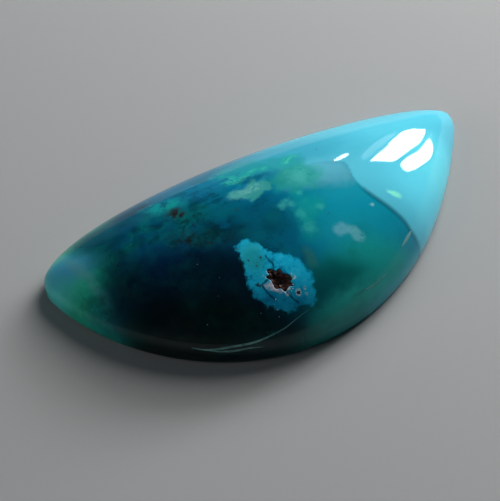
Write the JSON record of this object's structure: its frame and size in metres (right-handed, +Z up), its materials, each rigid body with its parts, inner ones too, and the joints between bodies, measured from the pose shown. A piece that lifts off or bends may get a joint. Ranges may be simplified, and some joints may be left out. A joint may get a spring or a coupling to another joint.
{
  "type": "gem silica cabochon",
  "caption": "Polished half-moon cabochon of blue-green gem silica with a flat back, a crowned dome and a small open vug of dark crystals.",
  "frame": {"origin": "on the flat back, under the middle of the stone's box", "axes": "+X along the stone from its blunt tip to its sharp tip, +Y towards its straighter edge, +Z up out of the dome"},
  "size_m": [0.0358, 0.0174, 0.0062],
  "materials": {
    "gem_silica": "polished, translucent",
    "copper_ore_crystals": "natural crystal faces"
  },
  "bodies": {
    "root": {"gem_silica_cabochon": "gem_silica", "vug_crystals": "copper_ore_crystals"}
  },
  "joints": []
}
